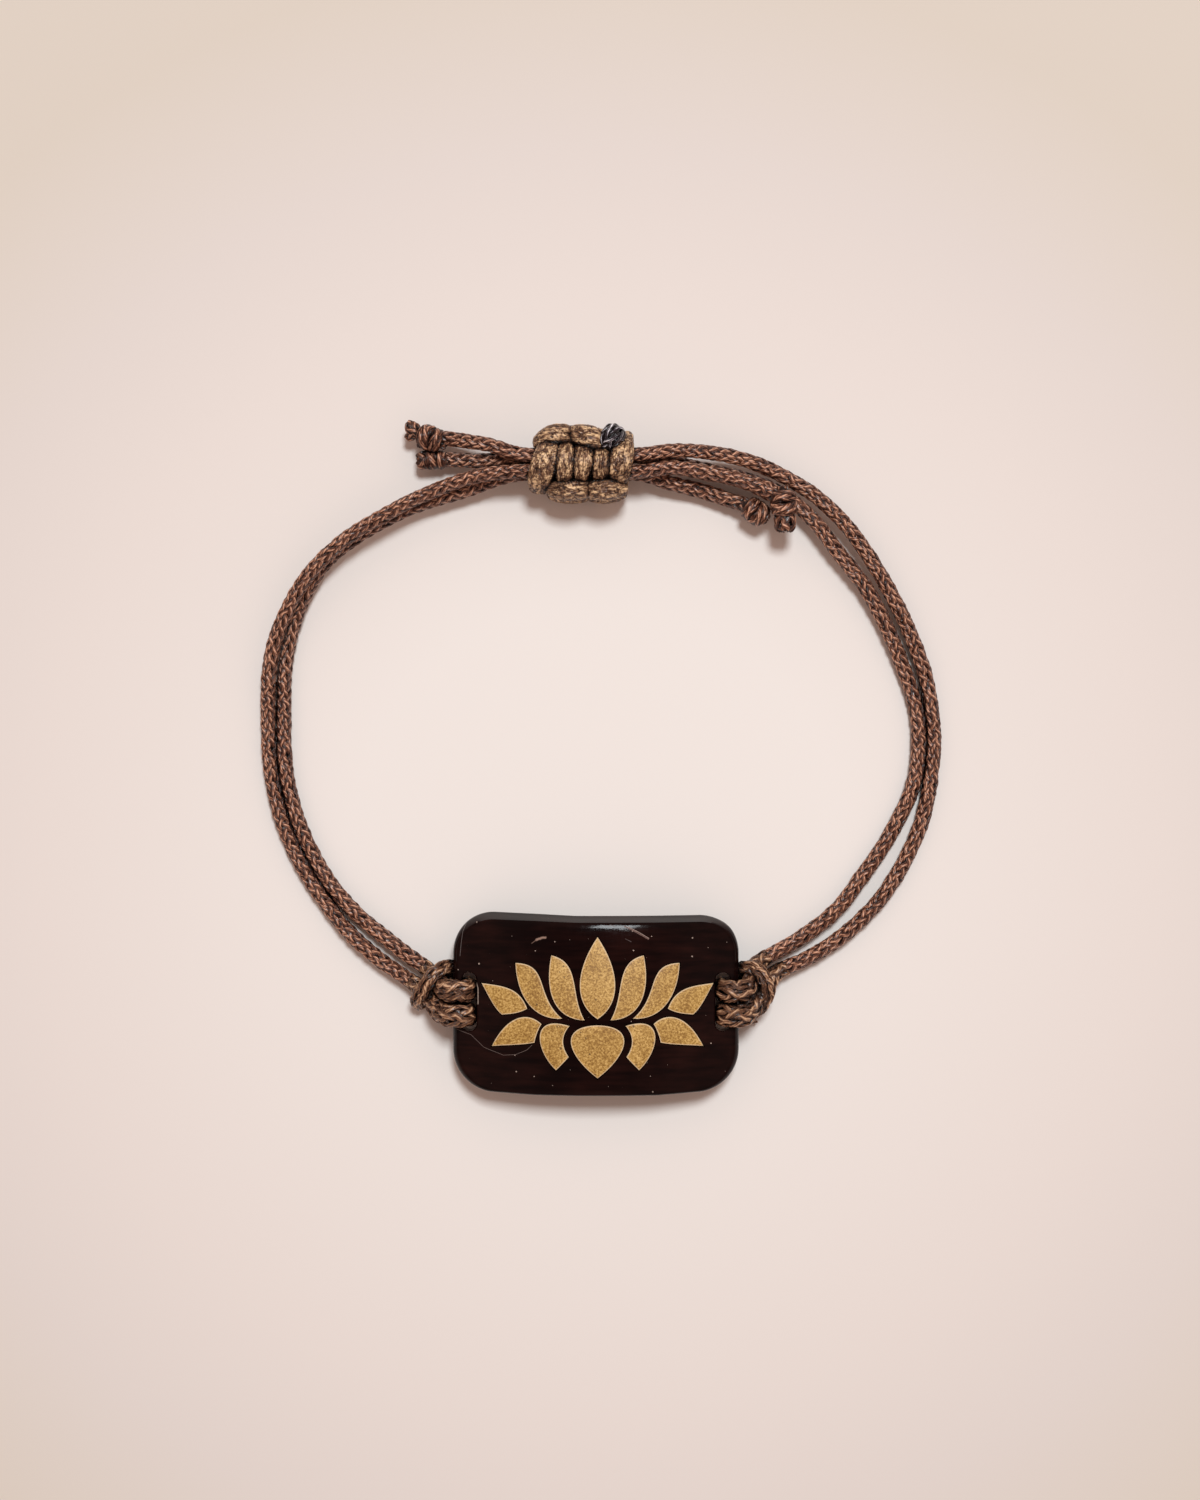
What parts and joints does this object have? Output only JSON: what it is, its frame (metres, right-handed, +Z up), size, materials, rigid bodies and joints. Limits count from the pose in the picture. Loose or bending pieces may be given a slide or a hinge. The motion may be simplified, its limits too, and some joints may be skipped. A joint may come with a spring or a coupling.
{
  "type": "cord bracelet",
  "caption": "Adjustable cord bracelet: a bowed dark plate with a lotus inlay, held by doubled braided cords that run through a sliding knot and end in stopper knots",
  "frame": {"origin": "on the surface that the bracelet lies on, under the middle of the box round the plate and the sliding knot", "axes": "+X along the plate, +Y from the plate to the sliding knot, +Z up out of the surface, which the plate's inlaid face looks along"},
  "size_m": [0.0851, 0.0829, 0.0083],
  "materials": {
    "plate": "polished, near black",
    "inlay": "speckled gold resin, satin",
    "cord": "braided, waxed",
    "slider_cord": "flat braid, waxed",
    "dark_cord": "braided, waxed"
  },
  "bodies": {
    "root": {"plate": "plate", "petal_top": "inlay", "petal_base": "inlay", "petal_inner_left": "inlay", "petal_inner_right": "inlay", "petal_middle_left": "inlay", "petal_middle_right": "inlay", "petal_outer_left": "inlay", "petal_outer_right": "inlay", "petal_low_inner_left": "inlay", "petal_low_inner_right": "inlay", "petal_low_outer_left": "inlay", "petal_low_outer_right": "inlay", "strand_left_outer": "cord", "strand_left_inner": "cord", "strand_right_outer": "cord", "strand_right_inner": "cord", "hitch_left": "cord", "hitch_right": "cord", "knot_left_upper": "cord", "knot_left_lower": "cord", "knot_right_upper": "cord", "knot_right_lower": "cord", "slider_knot": "slider_cord", "slider_dark_loop": "dark_cord"}
  },
  "joints": []
}
